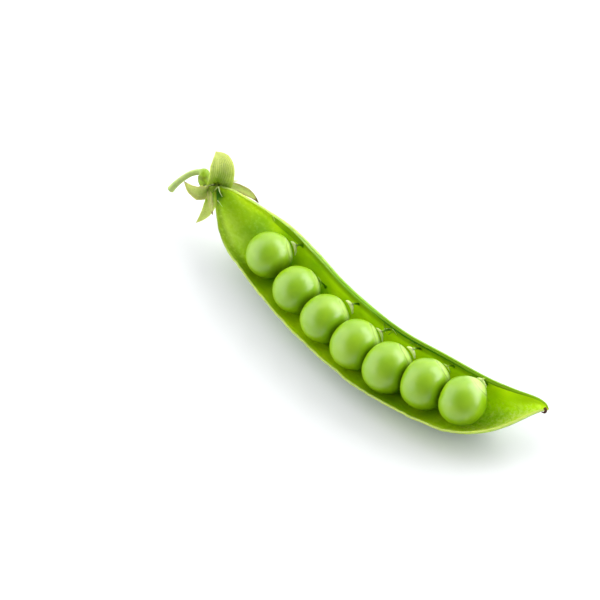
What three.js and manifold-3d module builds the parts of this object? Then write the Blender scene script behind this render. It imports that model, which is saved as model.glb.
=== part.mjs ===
// A garden pea pod, split along its seams: one half of the pod (a valve) with its seven peas in a row,
// each on its own short seed stalk, and at the stem end the five-lobed calyx and the hooked flower stalk.
//
// Units are millimetres. Every shape is written in the pod's own frame and then laid down by one group:
//   X runs from the stem end to the tip, Y from the back seam to the seed seam, Z out of the opening.
// The plane Z = 0 is the plane of the two split seams. The finished part has +Z up and stands on Z = 0.

import * as THREE from 'three';
import { mergeVertices } from 'three/addons/utils/BufferGeometryUtils.js';
import Module from 'manifold-3d';

const wasm = await Module();
wasm.setup();

// ---------------------------------------------------------------- driving dimensions

const NECK_X = -45.5; // where the valve leaves the calyx
const TIP_X = 41.6; // the beaked end
const NECK_RISE = 20; // length over which the valve deepens behind the neck
const TIP_RISE = 12; // the same before the tip
const VALVE_DEPTH = 5.6; // inner depth of the valve under a pea
const RIDGE_RISE = 0.35; // how far the wall rises between two peas
const WALL = 0.9; // wall at the belly
const RIM_WALL = 0.7; // wall at the back seam
const RIB_RADIUS = 0.55; // the thick bead along the seed seam
const NECK_RIB_RADIUS = 0.22; // the same bead where it runs out at the neck and the tip
const PEA_Z = -0.3; // a pea's middle, just under the plane of the seams
const SWELL_POWER = 1.2; // how slowly the depth starts at either end
const PILLOW_REACH = 3; // half length of the soft hollow under a pea
const PILLOW_LIMIT = 1.2; // the most that two hollows side by side count
const ROW_END = 33; // the ridges between peas die out this far from the middle
const ROW_FADE = 1.5; // and over about this length
const VALVE_STATIONS = 56; // sections along the valve
const END_CROWDING = 0.6; // how much closer the sections stand at both ends
const PRESS_POWER = 8; // how squarely two neighbouring peas flatten each other
const PEA_SIDES = 22; // facets round a pea
const PEA_RINGS = 15; // facets from pole to pole
const STALK_RADIUS = 0.75; // the flower stalk
const LOBE_THICKNESS = 0.6; // a lobe of the calyx
const SKIN_GAP = 0.3; // clearance between pieces that touch

// Shape of the valve's section: a higher power makes a wall that slopes further out.
const BACK_POWER = 1.35;
const SEED_POWER = 1.7;
const SEED_POWER_OUTSIDE = 1.6;
const RIB_BACKING = 1.15; // wall behind the bead, in bead radii
const RIB_LIFT = 0.27; // how far the bead's middle stands over the plane of the seams, in bead radii
const BEAD_ANGLES = [25, 70, 115, 160, 205]; // facets of the bead, in degrees round its middle
const INSIDE_END = 76; // degrees: where the inside of the wall meets the bead
const EDGE_LIFT = 0.17; // height of the split back edge's middle, in edge widths

// The bead is thin at the neck and the tip, and full between them.
const NECK_BEAD = { from: -38, length: 18 };
const TIP_BEAD = { from: 40.6, length: 10 };

// In the narrow ends no wall takes more than this share of the valve's width.
const MOST_OF_WIDTH = { rib: 0.16, rim: 0.3, wall: 0.35 };
const LEAST_DEPTH = 0.05;

const REST_ROLL = 17; // degrees: the seed seam lies this much higher than the back seam
const REST_PITCH = 1; // degrees: the tip lies this much higher than the stem end
const REST_FLAT = 0.3; // depth of the flat spot that the belly rests on

// Outline of the valve: (X, Y) points that a smooth curve joins.
const SEED_SEAM = [
  [-45.5, 0.9], [-42, 1.8], [-33, 2.2], [-26, 2.15], [-18, 0.85], [-9, -1.15], [1, -2.35],
  [9, -2.6], [18, -1.8], [28, -0.95], [34, 0.15], [38.5, 1.2], [40.6, 1.15], [41.6, 0.6],
];
const BACK_SEAM = [
  [-45.5, -0.75], [-42, -4.3], [-38, -7.6], [-34, -9.55], [-27, -11.75], [-18, -14.1], [-9, -15.8],
  [0, -16.8], [7, -17.2], [16, -16.5], [25, -15.05], [30, -13.1], [34, -10.1], [37.2, -5.9],
  [40, -1.3], [41.6, 0.2],
];
// The deepest line of the valve, which the peas sit on.
const TROUGH = [
  [-45.5, 0.1], [-40, -1.8], [-34, -3.8], [-26.3, -5.2], [-16.6, -7.9], [-7.6, -9.5], [1.2, -10.3],
  [9.8, -10.4], [18.2, -8.9], [26.8, -7.45], [34, -4.5], [39, -0.7], [41.6, 0.4],
];

// The peas, from the stem end to the tip: place along the trough, radius, and the direction of the seed
// stalk's cap from the pea's middle, leaning to the tip and rising over the seams (degrees).
const PEAS = [
  { x: -26.3, radius: 4.75, lean: 45, rise: 10 },
  { x: -16.6, radius: 4.8, lean: 40, rise: 8 },
  { x: -7.6, radius: 4.95, lean: 32, rise: 12 },
  { x: 1.2, radius: 5.1, lean: 38, rise: 10 },
  { x: 9.8, radius: 5.15, lean: 27, rise: 12 },
  { x: 18.2, radius: 5.1, lean: 20, rise: 8 },
  { x: 26.5, radius: 4.8, lean: 6, rise: 25 },
];

// A seed stalk: half axes of its oval section at the bead and at the pea, where it flares between them,
// and how much nearer the tip it leaves the bead.
const SEED_STALK = { root: [0.35, 0.3], cap: [1.2, 0.6], flareFrom: 0.35, flareTo: 0.85, drift: 1.2 };

// The lobes of the calyx: root, control and tip of the midline, the direction across it, the half width,
// the root's share of that width, and how far the edges bend out of the midline's plane.
const LOBES = [
  {
    line: [[-46.0, 0.9, 0.6], [-44.0, 4.2, 4.4], [-48.9, 5.5, 3.4]],
    across: [0.6, 0.77, -0.19],
    half: 2.5,
    root: 0.85,
    cup: -1.2,
  },
  {
    line: [[-47.1, -0.8, -0.5], [-47.5, -3.7, 0.4], [-51.1, -3.0, 2.5]],
    across: [-0.07, 0.49, 0.87],
    half: 1.8,
    root: 0.6,
    cup: -0.5,
  },
  {
    line: [[-47.4, -0.4, -2.0], [-45.5, -3.2, -4.2], [-47.3, -7.5, -5.1]],
    across: [0.86, -0.11, -0.48],
    half: 1.25,
    root: 0.8,
    cup: 0.3,
  },
  {
    line: [[-47.0, -0.9, -0.5], [-45.7, -2.8, -1.2], [-43.9, -4.3, -3.1]],
    across: [0.66, 0.05, 0.74],
    half: 1.3,
    root: 0.7,
    cup: 0.3,
  },
  {
    line: [[-46.7, 1.3, -1.7], [-44.0, 5.0, -5.4], [-41.7, 4.3, -10.4]],
    across: [-0.1, 0.5, 0.82],
    half: 1.5,
    root: 0.8,
    cup: 0.5,
  },
];
const LOBE_WIDEST = 0.4; // where along a lobe it is widest
const LOBE_TIP = 0.1; // half width of its tip, as a share of its widest

// The cup that the lobes stand on: from the flower stalk to the neck, with (radius, length) down its side.
const CUP_BACK = [-48.5, 0.4, 0.35];
const CUP_MOUTH = [-46.0, 0.3, -0.5];
const CUP_PROFILE = [[0, 0], [0.8, 0], [1.0, 0.6], [1.2, 1.3], [1.45, 2.0], [1.6, 2.6], [0, 2.6]];

// The flower stalk's midline, from the calyx to its cut end.
const STALK_PATH = [
  [-48.9, 0.5, 0.6], [-49.8, 1.0, 1.0], [-50.8, 0.7, 1.2], [-51.8, -0.5, 1.1],
  [-52.8, -1.9, 0.6], [-53.8, -3.6, -0.3], [-54.5, -5.1, -1.4],
];

// ---------------------------------------------------------------- small helpers

const { clamp, degToRad, lerp } = THREE.MathUtils;

// A smooth curve Y(X) through points with growing X: a cubic with its neighbours' slope at each point.
function curveAt(points, x) {
  const last = points.length - 1;
  const slope = (i) => {
    const a = points[Math.max(i - 1, 0)];
    const b = points[Math.min(i + 1, last)];
    return (b[1] - a[1]) / (b[0] - a[0]);
  };
  let i = 0;
  while (i < last - 1 && x >= points[i + 1][0]) i += 1;
  const h = points[i + 1][0] - points[i][0];
  const t = clamp((x - points[i][0]) / h, 0, 1);
  const s = 1 - t;
  const ends = (1 + 2 * t) * s * s * points[i][1] + t * t * (3 - 2 * t) * points[i + 1][1];
  return ends + t * s * h * (s * slope(i) - t * slope(i + 1));
}

// Joins rings of points, each with the same count, into one closed body with flat ends.
function loft(rings) {
  const count = rings[0].length;
  const positions = rings.flat().flatMap((p) => p.toArray());
  const faces = [];
  for (let r = 0; r + 1 < rings.length; r += 1) {
    for (let k = 0; k < count; k += 1) {
      const a = r * count + k;
      const b = r * count + ((k + 1) % count);
      faces.push(a, b, b + count, a, b + count, a + count);
    }
  }
  const addEnd = (first, flip) => {
    const middle = new THREE.Vector3();
    const point = new THREE.Vector3();
    for (let k = 0; k < count; k += 1) middle.add(point.fromArray(positions, 3 * (first + k)));
    const centre = positions.length / 3;
    positions.push(...middle.divideScalar(count).toArray());
    for (let k = 0; k < count; k += 1) {
      const a = first + k;
      const b = first + ((k + 1) % count);
      faces.push(centre, ...(flip ? [b, a] : [a, b]));
    }
  };
  addEnd(0, true);
  addEnd((rings.length - 1) * count, false);
  return indexed(positions, faces);
}

function indexed(positions, faces) {
  const geometry = new THREE.BufferGeometry();
  geometry.setAttribute('position', new THREE.Float32BufferAttribute(positions, 3));
  geometry.setIndex(faces);
  geometry.computeVertexNormals();
  return geometry;
}

// A closed geometry as a solid that can be joined, and back again.
function toSolid(source) {
  const bare = source.clone();
  bare.deleteAttribute('normal');
  bare.deleteAttribute('uv');
  const merged = mergeVertices(bare, 1e-4);
  const vertProperties = new Float32Array(merged.attributes.position.array);
  const triVerts = new Uint32Array(merged.index.array);
  return new wasm.Manifold(new wasm.Mesh({ numProp: 3, vertProperties, triVerts }));
}

function toGeometry(solid) {
  const { vertProperties, triVerts } = solid.getMesh();
  return indexed(Array.from(vertProperties), Array.from(triVerts));
}

// A body of round or oval section along a three.js curve. size(t) gives the two half axes.
function ovalTube(path, steps, sides, across, size) {
  const rings = [];
  for (let i = 0; i <= steps; i += 1) {
    const t = i / steps;
    const tangent = path.getTangent(t);
    const second = new THREE.Vector3().crossVectors(tangent, across).normalize();
    const first = new THREE.Vector3().crossVectors(second, tangent);
    const [a, b] = size(t);
    const ring = [];
    for (let k = 0; k < sides; k += 1) {
      const angle = (2 * Math.PI * k) / sides;
      const point = path.getPoint(t);
      point.addScaledVector(first, a * Math.cos(angle));
      point.addScaledVector(second, b * Math.sin(angle));
      ring.push(point);
    }
    rings.push(ring);
  }
  return loft(rings);
}

// ---------------------------------------------------------------- the valve

// How far the valve has swelled at X: 0 at either end, 1 along the row of peas.
function swell(x) {
  const fromNeck = Math.sin((Math.PI / 2) * clamp((x - NECK_X) / NECK_RISE, 0, 1));
  const fromTip = Math.sin((Math.PI / 2) * clamp((TIP_X - x) / TIP_RISE, 0, 1));
  return (fromNeck * fromTip) ** SWELL_POWER;
}

// 1 over a pea, lower between two peas, 0 away from the row.
function pillow(x) {
  const sum = PEAS.reduce((total, pea) => total + Math.exp(-(((x - pea.x) / PILLOW_REACH) ** 2)), 0);
  return Math.min(sum, PILLOW_LIMIT);
}

// 1 along the row of peas, fading out past its ends.
function alongRow(x) {
  const fade = (past) => 1 / (1 + Math.exp(past / ROW_FADE));
  return fade(-ROW_END - x) * fade(x - ROW_END);
}

// The sizes of the valve's section at X.
function valveSizes(x) {
  const seed = curveAt(SEED_SEAM, x);
  const back = curveAt(BACK_SEAM, x);
  const width = seed - back;
  const fromNeck = clamp((x - NECK_BEAD.from) / NECK_BEAD.length, 0, 1);
  const fromTip = clamp((TIP_BEAD.from - x) / TIP_BEAD.length, 0, 1);
  const bead = lerp(NECK_RIB_RADIUS, RIB_RADIUS, fromNeck * fromTip);
  const depth = VALVE_DEPTH * swell(x) - RIDGE_RISE * alongRow(x) * (1 - pillow(x));
  return {
    seed,
    back,
    middle: curveAt(TROUGH, x),
    rib: Math.min(bead, MOST_OF_WIDTH.rib * width),
    rim: Math.min(RIM_WALL, MOST_OF_WIDTH.rim * width),
    wall: Math.min(WALL, MOST_OF_WIDTH.wall * width),
    depth: Math.max(depth, LEAST_DEPTH),
  };
}

// One curved side of the section, at angle phi from the deepest line (-90 back seam, +90 seed seam).
function bowl(phi, middle, back, seed, depth, seedPower) {
  const s = Math.sin(phi);
  const c = Math.max(Math.cos(phi), 0);
  const y = middle + s * (s < 0 ? middle - back : seed - middle);
  return [y, -depth * c ** (s < 0 ? BACK_POWER : seedPower)];
}

// The valve's whole section at X: outside, bead of the seed seam, inside, edge of the back seam.
function valveRing(x) {
  const v = valveSizes(x);
  const outsideSteps = 14;
  const insideSteps = 13;
  const points = [];
  for (let i = 0; i <= outsideSteps; i += 1) {
    const phi = -Math.PI / 2 + (Math.PI * i) / outsideSteps;
    points.push(bowl(phi, v.middle, v.back, v.seed, v.depth + v.wall, SEED_POWER_OUTSIDE));
  }
  for (const degrees of BEAD_ANGLES) {
    const angle = degToRad(degrees);
    points.push([v.seed + v.rib * (Math.cos(angle) - 1), v.rib * (Math.sin(angle) + RIB_LIFT)]);
  }
  for (let i = 0; i <= insideSteps; i += 1) {
    const phi = lerp(degToRad(INSIDE_END), -Math.PI / 2, i / insideSteps);
    points.push(bowl(phi, v.middle, v.back + v.rim, v.seed - RIB_BACKING * v.rib, v.depth, SEED_POWER));
  }
  points.push([v.back + v.rim / 2, EDGE_LIFT * v.rim]);
  return points.map(([y, z]) => new THREE.Vector3(x, y, z));
}

// Stations along the valve, closer together towards both ends.
function valveStations(count) {
  const stations = [];
  for (let i = 0; i <= count; i += 1) {
    const t = i / count;
    const eased = t - (END_CROWDING * Math.sin(2 * Math.PI * t)) / (2 * Math.PI);
    stations.push(lerp(NECK_X, TIP_X, eased));
  }
  return stations;
}

function valveGeometry() {
  return loft(valveStations(VALVE_STATIONS).map(valveRing));
}

// ---------------------------------------------------------------- the peas and their stalks

const peaCentres = PEAS.map((pea) => new THREE.Vector3(pea.x, curveAt(TROUGH, pea.x), PEA_Z));

// A ball flattened where it presses on the peas beside it; its own middle is its origin.
function peaGeometry(index) {
  const { radius } = PEAS[index];
  const geometry = new THREE.SphereGeometry(1, PEA_SIDES, PEA_RINGS);
  const position = geometry.attributes.position;
  const direction = new THREE.Vector3();
  for (let i = 0; i < position.count; i += 1) {
    direction.fromBufferAttribute(position, i).normalize();
    let press = 1;
    for (const other of [index - 1, index + 1]) {
      if (other < 0 || other >= PEAS.length) continue;
      const towards = peaCentres[other].clone().sub(peaCentres[index]);
      const contact = (towards.length() * radius) / (radius + PEAS[other].radius);
      const facing = Math.max(direction.dot(towards.normalize()), 0);
      press += ((radius * facing) / contact) ** PRESS_POWER;
    }
    direction.multiplyScalar(radius * press ** (-1 / PRESS_POWER));
    position.setXYZ(i, direction.x, direction.y, direction.z);
  }
  geometry.computeVertexNormals();
  return geometry;
}

// The seed stalk: from the bead of the seed seam to a wider cap that clasps the pea.
function seedStalkGeometry(index) {
  const { radius } = PEAS[index];
  const lean = degToRad(PEAS[index].lean);
  const rise = degToRad(PEAS[index].rise);
  const out = new THREE.Vector3(Math.sin(lean), Math.cos(lean), 0);
  out.multiplyScalar(Math.cos(rise)).setZ(Math.sin(rise));
  const cap = peaCentres[index].clone().addScaledVector(out, radius + SKIN_GAP);
  const beadX = cap.x + SEED_STALK.drift * Math.sin(lean);
  const { seed, rib } = valveSizes(beadX);
  const bead = new THREE.Vector3(beadX, seed - rib, RIB_LIFT * rib);
  const fromBead = cap.clone().sub(bead).normalize();
  const root = bead.addScaledVector(fromBead, rib + SKIN_GAP);
  const shoulder = cap.clone().addScaledVector(out, root.distanceTo(cap) / 2);
  const path = new THREE.QuadraticBezierCurve3(root, shoulder, cap);
  const along = new THREE.Vector3(Math.cos(lean), -Math.sin(lean), 0);
  const { root: thin, cap: wide, flareFrom, flareTo } = SEED_STALK;
  const flare = (t) => clamp((t - flareFrom) / (flareTo - flareFrom), 0, 1) ** 2;
  return ovalTube(path, 7, 10, along, (t) => [0, 1].map((axis) => lerp(thin[axis], wide[axis], flare(t))));
}

// ---------------------------------------------------------------- the calyx and the flower stalk

// The cup of the calyx, turned about its own axis.
function cupGeometry() {
  const geometry = new THREE.LatheGeometry(CUP_PROFILE.map(([r, s]) => new THREE.Vector2(r, s)), 14);
  const back = new THREE.Vector3(...CUP_BACK);
  const mouth = new THREE.Vector3(...CUP_MOUTH);
  const turn = new THREE.Quaternion();
  turn.setFromUnitVectors(new THREE.Vector3(0, 1, 0), mouth.sub(back).normalize());
  geometry.applyQuaternion(turn);
  geometry.translate(back.x, back.y, back.z);
  return geometry;
}

// Half width of a lobe at t along it, as a share of its widest.
function lobeWidth(t, root) {
  if (t < LOBE_WIDEST) return lerp(root, 1, Math.sin(((Math.PI / 2) * t) / LOBE_WIDEST));
  return Math.max(Math.cos(((Math.PI / 2) * (t - LOBE_WIDEST)) / (1 - LOBE_WIDEST)) ** 0.9, LOBE_TIP);
}

// One lobe: a thin curved blade, split into the same triangles on both faces.
function lobeGeometry({ line, across, half, root, cup }) {
  const path = new THREE.QuadraticBezierCurve3(...line.map((p) => new THREE.Vector3(...p)));
  const steps = 9;
  const halfColumns = 3;
  const rings = [];
  for (let i = 0; i <= steps; i += 1) {
    const t = i / steps;
    const tangent = path.getTangent(t);
    const normal = new THREE.Vector3(...across).cross(tangent).negate().normalize();
    const side = new THREE.Vector3().crossVectors(normal, tangent);
    const width = lobeWidth(t, root);
    const at = (v, face) => {
      const point = path.getPoint(t).addScaledVector(side, half * width * v);
      return point.addScaledVector(normal, cup * width * v * v + (face * LOBE_THICKNESS) / 2);
    };
    const ring = [];
    for (let k = -halfColumns; k <= halfColumns; k += 1) ring.push(at(k / halfColumns, -1));
    for (let k = halfColumns; k >= -halfColumns; k -= 1) ring.push(at(k / halfColumns, 1));
    rings.push(ring);
  }
  return loft(rings);
}

// The flower stalk, a little thicker at the calyx and at its cut end.
function flowerStalkGeometry() {
  const path = new THREE.CatmullRomCurve3(STALK_PATH.map((p) => new THREE.Vector3(...p)));
  const radius = (t) => STALK_RADIUS * (1 + 0.2 * (1 - t) ** 4 + 0.2 * t ** 6);
  return ovalTube(path, 20, 12, new THREE.Vector3(0, 0, 1), (t) => [radius(t), radius(t)]);
}

// ---------------------------------------------------------------- laying the pod down

const pod = new THREE.Group();
pod.rotation.set(degToRad(REST_ROLL), -degToRad(REST_PITCH), 0, 'YXZ');

// The upward direction of the surface that the pod lies on, in the pod's own frame.
const up = new THREE.Vector3(0, 0, 1).applyQuaternion(pod.quaternion.clone().invert());

function heights(geometry) {
  const position = geometry.attributes.position;
  const point = new THREE.Vector3();
  return Array.from({ length: position.count }, (_, i) => point.fromBufferAttribute(position, i).dot(up));
}

// Presses everything under the floor level up to it, which leaves a small flat spot.
function restOn(level, geometry) {
  const position = geometry.attributes.position;
  const point = new THREE.Vector3();
  heights(geometry).forEach((height, i) => {
    if (height >= level) return;
    point.fromBufferAttribute(position, i).addScaledVector(up, level - height);
    position.setXYZ(i, point.x, point.y, point.z);
  });
  geometry.computeVertexNormals();
  return geometry;
}

const valve = valveGeometry();
const floorLevel = Math.min(...heights(valve)) + REST_FLAT;

const calyxSolid = LOBES.map((lobe) => toSolid(lobeGeometry(lobe))).reduce(
  (joined, lobe) => joined.add(lobe),
  toSolid(cupGeometry()),
);

function addPiece(name, geometry, material, place = new THREE.Vector3()) {
  const mesh = new THREE.Mesh(geometry, material);
  mesh.name = name;
  mesh.position.copy(place);
  pod.add(mesh);
}

const surface = (color, roughness) => new THREE.MeshStandardMaterial({ color, roughness, metalness: 0 });

addPiece('pod_valve', restOn(floorLevel, valve), surface(0x7fb815, 0.38));
addPiece('calyx', restOn(floorLevel, toGeometry(calyxSolid)), surface(0xb3c86a, 0.6));
addPiece('stalk', flowerStalkGeometry(), surface(0xa9c763, 0.5));
PEAS.forEach((pea, index) => {
  addPiece(`pea_${index + 1}`, peaGeometry(index), surface(0x8fc31f, 0.3), peaCentres[index]);
  addPiece(`seed_stalk_${index + 1}`, seedStalkGeometry(index), surface(0xdcefa8, 0.5));
});

// The part's origin is under the middle of its bounding box, on the surface it lies on.
const part = new THREE.Group();
part.add(pod);
part.updateMatrixWorld(true);
const box = new THREE.Box3().setFromObject(part, true);
const middle = box.getCenter(new THREE.Vector3());
pod.position.set(-middle.x, -middle.y, -floorLevel);

export default part;
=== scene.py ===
"""A split garden pea pod: one half with its row of peas, its calyx and its flower stalk.

Every shape is worked out in the pod's own frame, in millimetres, and then laid down where the solids are:
X runs from the stem end to the tip, Y from the back seam to the seed seam, Z out of the opening, and the
plane Z = 0 is the plane of the two split seams. "Across" runs from -1 at the back seam to 1 at the seed seam.
"""

import math
from collections import namedtuple

import bpy
import numpy as np
from bpy.props import FloatProperty, FloatVectorProperty, IntProperty, PointerProperty
from mathutils import Matrix


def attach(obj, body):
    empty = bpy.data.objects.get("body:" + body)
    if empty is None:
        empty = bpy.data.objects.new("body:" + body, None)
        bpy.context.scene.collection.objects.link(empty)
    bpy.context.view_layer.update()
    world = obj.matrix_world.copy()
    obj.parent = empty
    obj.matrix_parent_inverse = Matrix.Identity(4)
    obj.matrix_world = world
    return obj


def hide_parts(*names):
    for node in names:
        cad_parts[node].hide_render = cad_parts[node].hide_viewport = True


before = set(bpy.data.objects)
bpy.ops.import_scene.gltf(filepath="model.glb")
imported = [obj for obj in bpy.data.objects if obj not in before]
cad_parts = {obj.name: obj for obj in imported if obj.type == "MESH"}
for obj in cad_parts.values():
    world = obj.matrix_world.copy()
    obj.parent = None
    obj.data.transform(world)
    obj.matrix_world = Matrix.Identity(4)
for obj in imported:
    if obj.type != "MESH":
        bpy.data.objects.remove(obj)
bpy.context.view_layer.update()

bl_info = {
    "name": "Pea Pod",
    "version": (1, 0, 0),
    "blender": (4, 5, 0),
    "location": "View3D > Sidebar > Pea Pod",
    "description": "Makes a split garden pea pod, its peas, calyx and stalk, and a pale stage for it",
    "category": "Add Mesh",
}

MM = 0.001
UPWARD = (0.0, 0.0, 1.0)

# ---- measures of the pod, in millimetres (a pair is where something starts to rise and where it is full)

# Where the half begins and ends, over what lengths it swells, and how its floor rises between two peas, along
# the row only.
NECK_X, TIP_X = -45.5, 41.6
NECK_RISE, TIP_RISE = 20.0, 12.0
SWELL_POWER = 1.2
RIDGE_RISE = 0.35
PILLOW_REACH, PILLOW_TOP = 3.0, 1.2
ROW_END, ROW_FADE = 33.0, 1.5
LEAST_DEPTH = 0.05

# The section: the powers of its bowl, the bead's place on it, its thinnest radius and where that grows to
# full, and the largest shares of the pod's width that the bead, the back edge and the wall may take.
BACK_POWER, SEED_POWER, SEED_POWER_OUTSIDE = 1.35, 1.7, 1.6
BEAD_BACKING, BEAD_LIFT = 1.15, 0.27
THIN_BEAD, BEAD_AT_STEM, BEAD_AT_TIP = 0.2, (-33, -20), (40.6, 30.6)
BEAD_SHARE, RIM_SHARE, WALL_SHARE = 0.16, 0.3, 0.35

# Points round the bowls, the bead and the back edge, and how the sections crowd towards the pod's ends. The
# bead runs from its first angle to its last, the lining ends under it at its own, and the groove has a middle
# and a reach, all in degrees.
BOWL_POINTS, BEAD_POINTS, LINING_POINTS, LIP_POINTS = 66, 28, 82, 10
CROWDING = 0.6
BEAD_FROM, BEAD_TO, LINING_END = 4, 205, 78
GROOVE_MIDDLE, GROOVE_REACH, GROOVE_START = 98, 17, (-34, -22)

# Over what distances the colours of the bead and the back edge fade into the outer skin and into the lining,
# where on the bead and on the back edge one skin gives way to the other, and the back edge's height as a
# share of its wall.
BEAD_FADE_OUT, EDGE_FADE_OUT, BEAD_FADE_IN, EDGE_FADE_IN = 0.1, 0.14, 0.34, 0.12
BEAD_TURNS, LIP_TURNS = (0.1, 0.3), (0.3, 0.7)
LIP_HEIGHT = 0.25

# The raised strip of the lining: where it is across and along, and how far it shifts the surface in Y and Z.
STRIP_ACROSS, STRIP_START, STRIP_STOP = (0.84, 0.885), (-33, -28), (-21.9, -22.5)
STRIP_SHIFT = (-0.1, 0.14)

# The torn back edge: pitch and number of its waves and of its nibbles, and how far from the ends they start.
WAVES, NIBBLES, NIBBLE_FLOOR = (5.0, 11), (1.1, 12), 0.15
STEADY_NECK, STEADY_TIP = 6, 5

# How the half lies: its roll and pitch in degrees, and where the frame's origin comes to in the part's.
REST_ROLL, REST_PITCH = 17.0, 1.0
POD_PLACE = (6.8328, 4.5077, 9.1097)

# The two seams and the deepest line of the half, seen from above: points (X, Y).
SEED_SEAM = [
    (-45.5, 0.9), (-42, 1.8), (-33, 2.2), (-26, 2.15), (-18, 0.85), (-9, -1.15), (1, -2.35),
    (9, -2.6), (18, -1.8), (28, -0.95), (34, 0.15), (38.5, 1.2), (40.6, 1.15), (41.6, 0.6),
]
BACK_SEAM = [
    (-45.5, -0.75), (-42, -4.3), (-38, -7.6), (-34, -9.55), (-27, -11.75), (-18, -14.1), (-9, -15.8),
    (0, -16.8), (7, -17.2), (16, -16.5), (25, -15.05), (30, -13.1), (34, -10.1), (37.2, -5.9),
    (40, -1.3), (41.6, 0.2),
]
TROUGH = [
    (-45.5, 0.1), (-40, -1.8), (-34, -3.8), (-26.3, -5.2), (-16.6, -7.9), (-7.6, -9.5), (1.2, -10.3),
    (9.8, -10.4), (18.2, -8.9), (26.8, -7.45), (34, -4.5), (39, -0.7), (41.6, 0.4),
]

# Each pea: its place along the pod and its radius. They stand just under the plane of the seams.
PEAS = [(-26.3, 4.75), (-16.6, 4.8), (-7.6, 4.95), (1.2, 5.1), (9.8, 5.15), (18.2, 5.1), (26.5, 4.8)]
PEA_Z = -0.3
PRESS_POWER = 8
CORNER_REACH = 0.4

# Rings of each kind of skin, and points on a ring.
PEA_GRID, CAP_GRID, STEM_GRID, THREAD_GRID = (90, 132), (48, 36), (22, 24), (24, 14)
LOBE_GRID, CUP_GRID, STALK_GRID, STYLE_GRID = (46, 52), (22, 60), (110, 48), (30, 20)

# The low waves of a pea: the direction that each runs in, and its pitch in radii. Then the first number that
# sets them, and where they begin beside the cap, in radians. The dip under the cap has a depth, in radii,
# and a reach, and the swelling of the seed's root has a height, a place, a reach and a width.
PEA_WAVES = (((1, 0.2, 0.3), 1.6), ((-0.3, 1, 0.4), 1.9), ((0.2, -0.5, 1), 1.4))
PEA_SEED, WAVES_BEGIN = 40, (0.1, 0.5)
CAP_DIP, CAP_DIP_REACH = 0.035, 0.26
ROOT_SWELLING, ROOT_AT, ROOT_REACH, ROOT_WIDTH = 0.012, 0.62, 0.2, 0.55

# A pea takes painted shade, in deep green, towards the wall and its neighbours, and is pale round its cap:
# how much, and where.
WALL_SIDE, WALL_SHADE, WALL_FACING = (0.4, -0.7, -0.6), 0.5, (0.35, 1.0)
NEIGHBOUR_SHADE, NEIGHBOUR_FACING = 0.8, (0.72, 0.95)
CAP_PALE_REACH = 0.42

# The cap of each pea's seed stalk: the way from the pea's middle to it (lean to the tip and rise, in
# degrees), its gap to the pea, its height and its half length in millimetres, how white it has gone, how far
# the pea rises to a corner under it, as a share of its radius, and how far round the wall its stem starts
# (degrees).
UNDER_BEAD = 64
Cap = namedtuple("Cap", "lean rise gap height half white corner root_angle")
CAPS = [
    Cap(38, -4, 0.3, 0.836, 1.45, 0.85, 0.0, UNDER_BEAD),
    Cap(33, -8, 0.05, 0.264, 1.1, 0.3, 0.02, 38),
    Cap(30, 1, 0.55, 0.836, 1.45, 1.0, 0.0, UNDER_BEAD),
    Cap(33, -1, 0.12, 0.704, 1.55, 0.7, 0.0, UNDER_BEAD),
    Cap(23, 4, 0.3, 0.88, 1.35, 1.0, 0.0, UNDER_BEAD),
    Cap(19, 3, 0.05, 0.308, 1.1, 0.35, 0.03, UNDER_BEAD),
    Cap(14, 9, -0.25, 0.616, 1.3, 0.75, 0.14, UNDER_BEAD),
]

# A cap slants along this direction. Its peak is at a place from -1 to 1 along it, its ends are this share of
# its height, and its slopes are bent by a power.
CAP_SLANT, CAP_PEAK, CAP_ENDS, CAP_POWER = (0.78, -0.39, -0.48), -0.3, 0.14, 0.58

# The stem: how high up the cap it leaves, how deep it starts in the cap and ends in the wall, how far towards
# the tip it runs, and how far it bows out of the cap, as a share of its length.
STEM_TOP, STEM_IN_CAP, STEM_IN_WALL, STEM_RUN, STEM_BOW = 0.42, 0.25, 0.12, 0.5, 0.3

# Torn threads and crumbs of the lining: each is a list of points, given by place along the pod, by place
# across its section (-1 at the back seam, 1 at the seed seam) and by height over the lining, then its radius
# and how pale it is.
THREADS = [
    ([(-45.2, 0.62, 0.5), (-44.9, 0.3, 0.45), (-44.3, 0.0, 0.4), (-43.5, -0.06, 0.2)], 0.17, 1.0),
    ([(-43.65, -0.84, 0.15), (-43.0, -0.62, 0.2), (-42.2, -0.49, 0.15)], 0.1, 0.8),
    ([(-31.3, 0.985, 0.3), (-31.0, 0.95, 0.35), (-30.6, 0.9, 0.12)], 0.09, 0.9),
    ([(2.9, 0.93, 0.2), (3.6, 0.86, 0.45), (4.5, 0.82, 0.3)], 0.1, 0.15),
    ([(3.3, 0.84, 0.2), (4.1, 0.88, 0.5), (4.9, 0.93, 0.2)], 0.09, 0.9),
    ([(4.6, 0.8, 0.15), (5.2, 0.86, 0.4), (5.5, 0.92, 0.2)], 0.11, 0.1),
    ([(3.0, 0.78, 0.2), (3.4, 0.82, 0.35), (4.0, 0.79, 0.12)], 0.1, 0.8),
    ([(5.3, 0.95, 0.2), (6.0, 0.93, 0.35), (6.5, 0.9, 0.2)], 0.1, 0.75),
    ([(9.6, 0.97, 0.3), (10.6, 0.96, 0.4), (11.4, 0.97, 0.25)], 0.12, 0.9),
    ([(11.6, 0.96, 0.3), (12.3, 0.97, 0.4), (13.0, 0.96, 0.2)], 0.1, 0.8),
    ([(9.9, 0.9, 0.2), (10.5, 0.93, 0.4), (11.2, 0.9, 0.15)], 0.1, 0.1),
]
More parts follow.
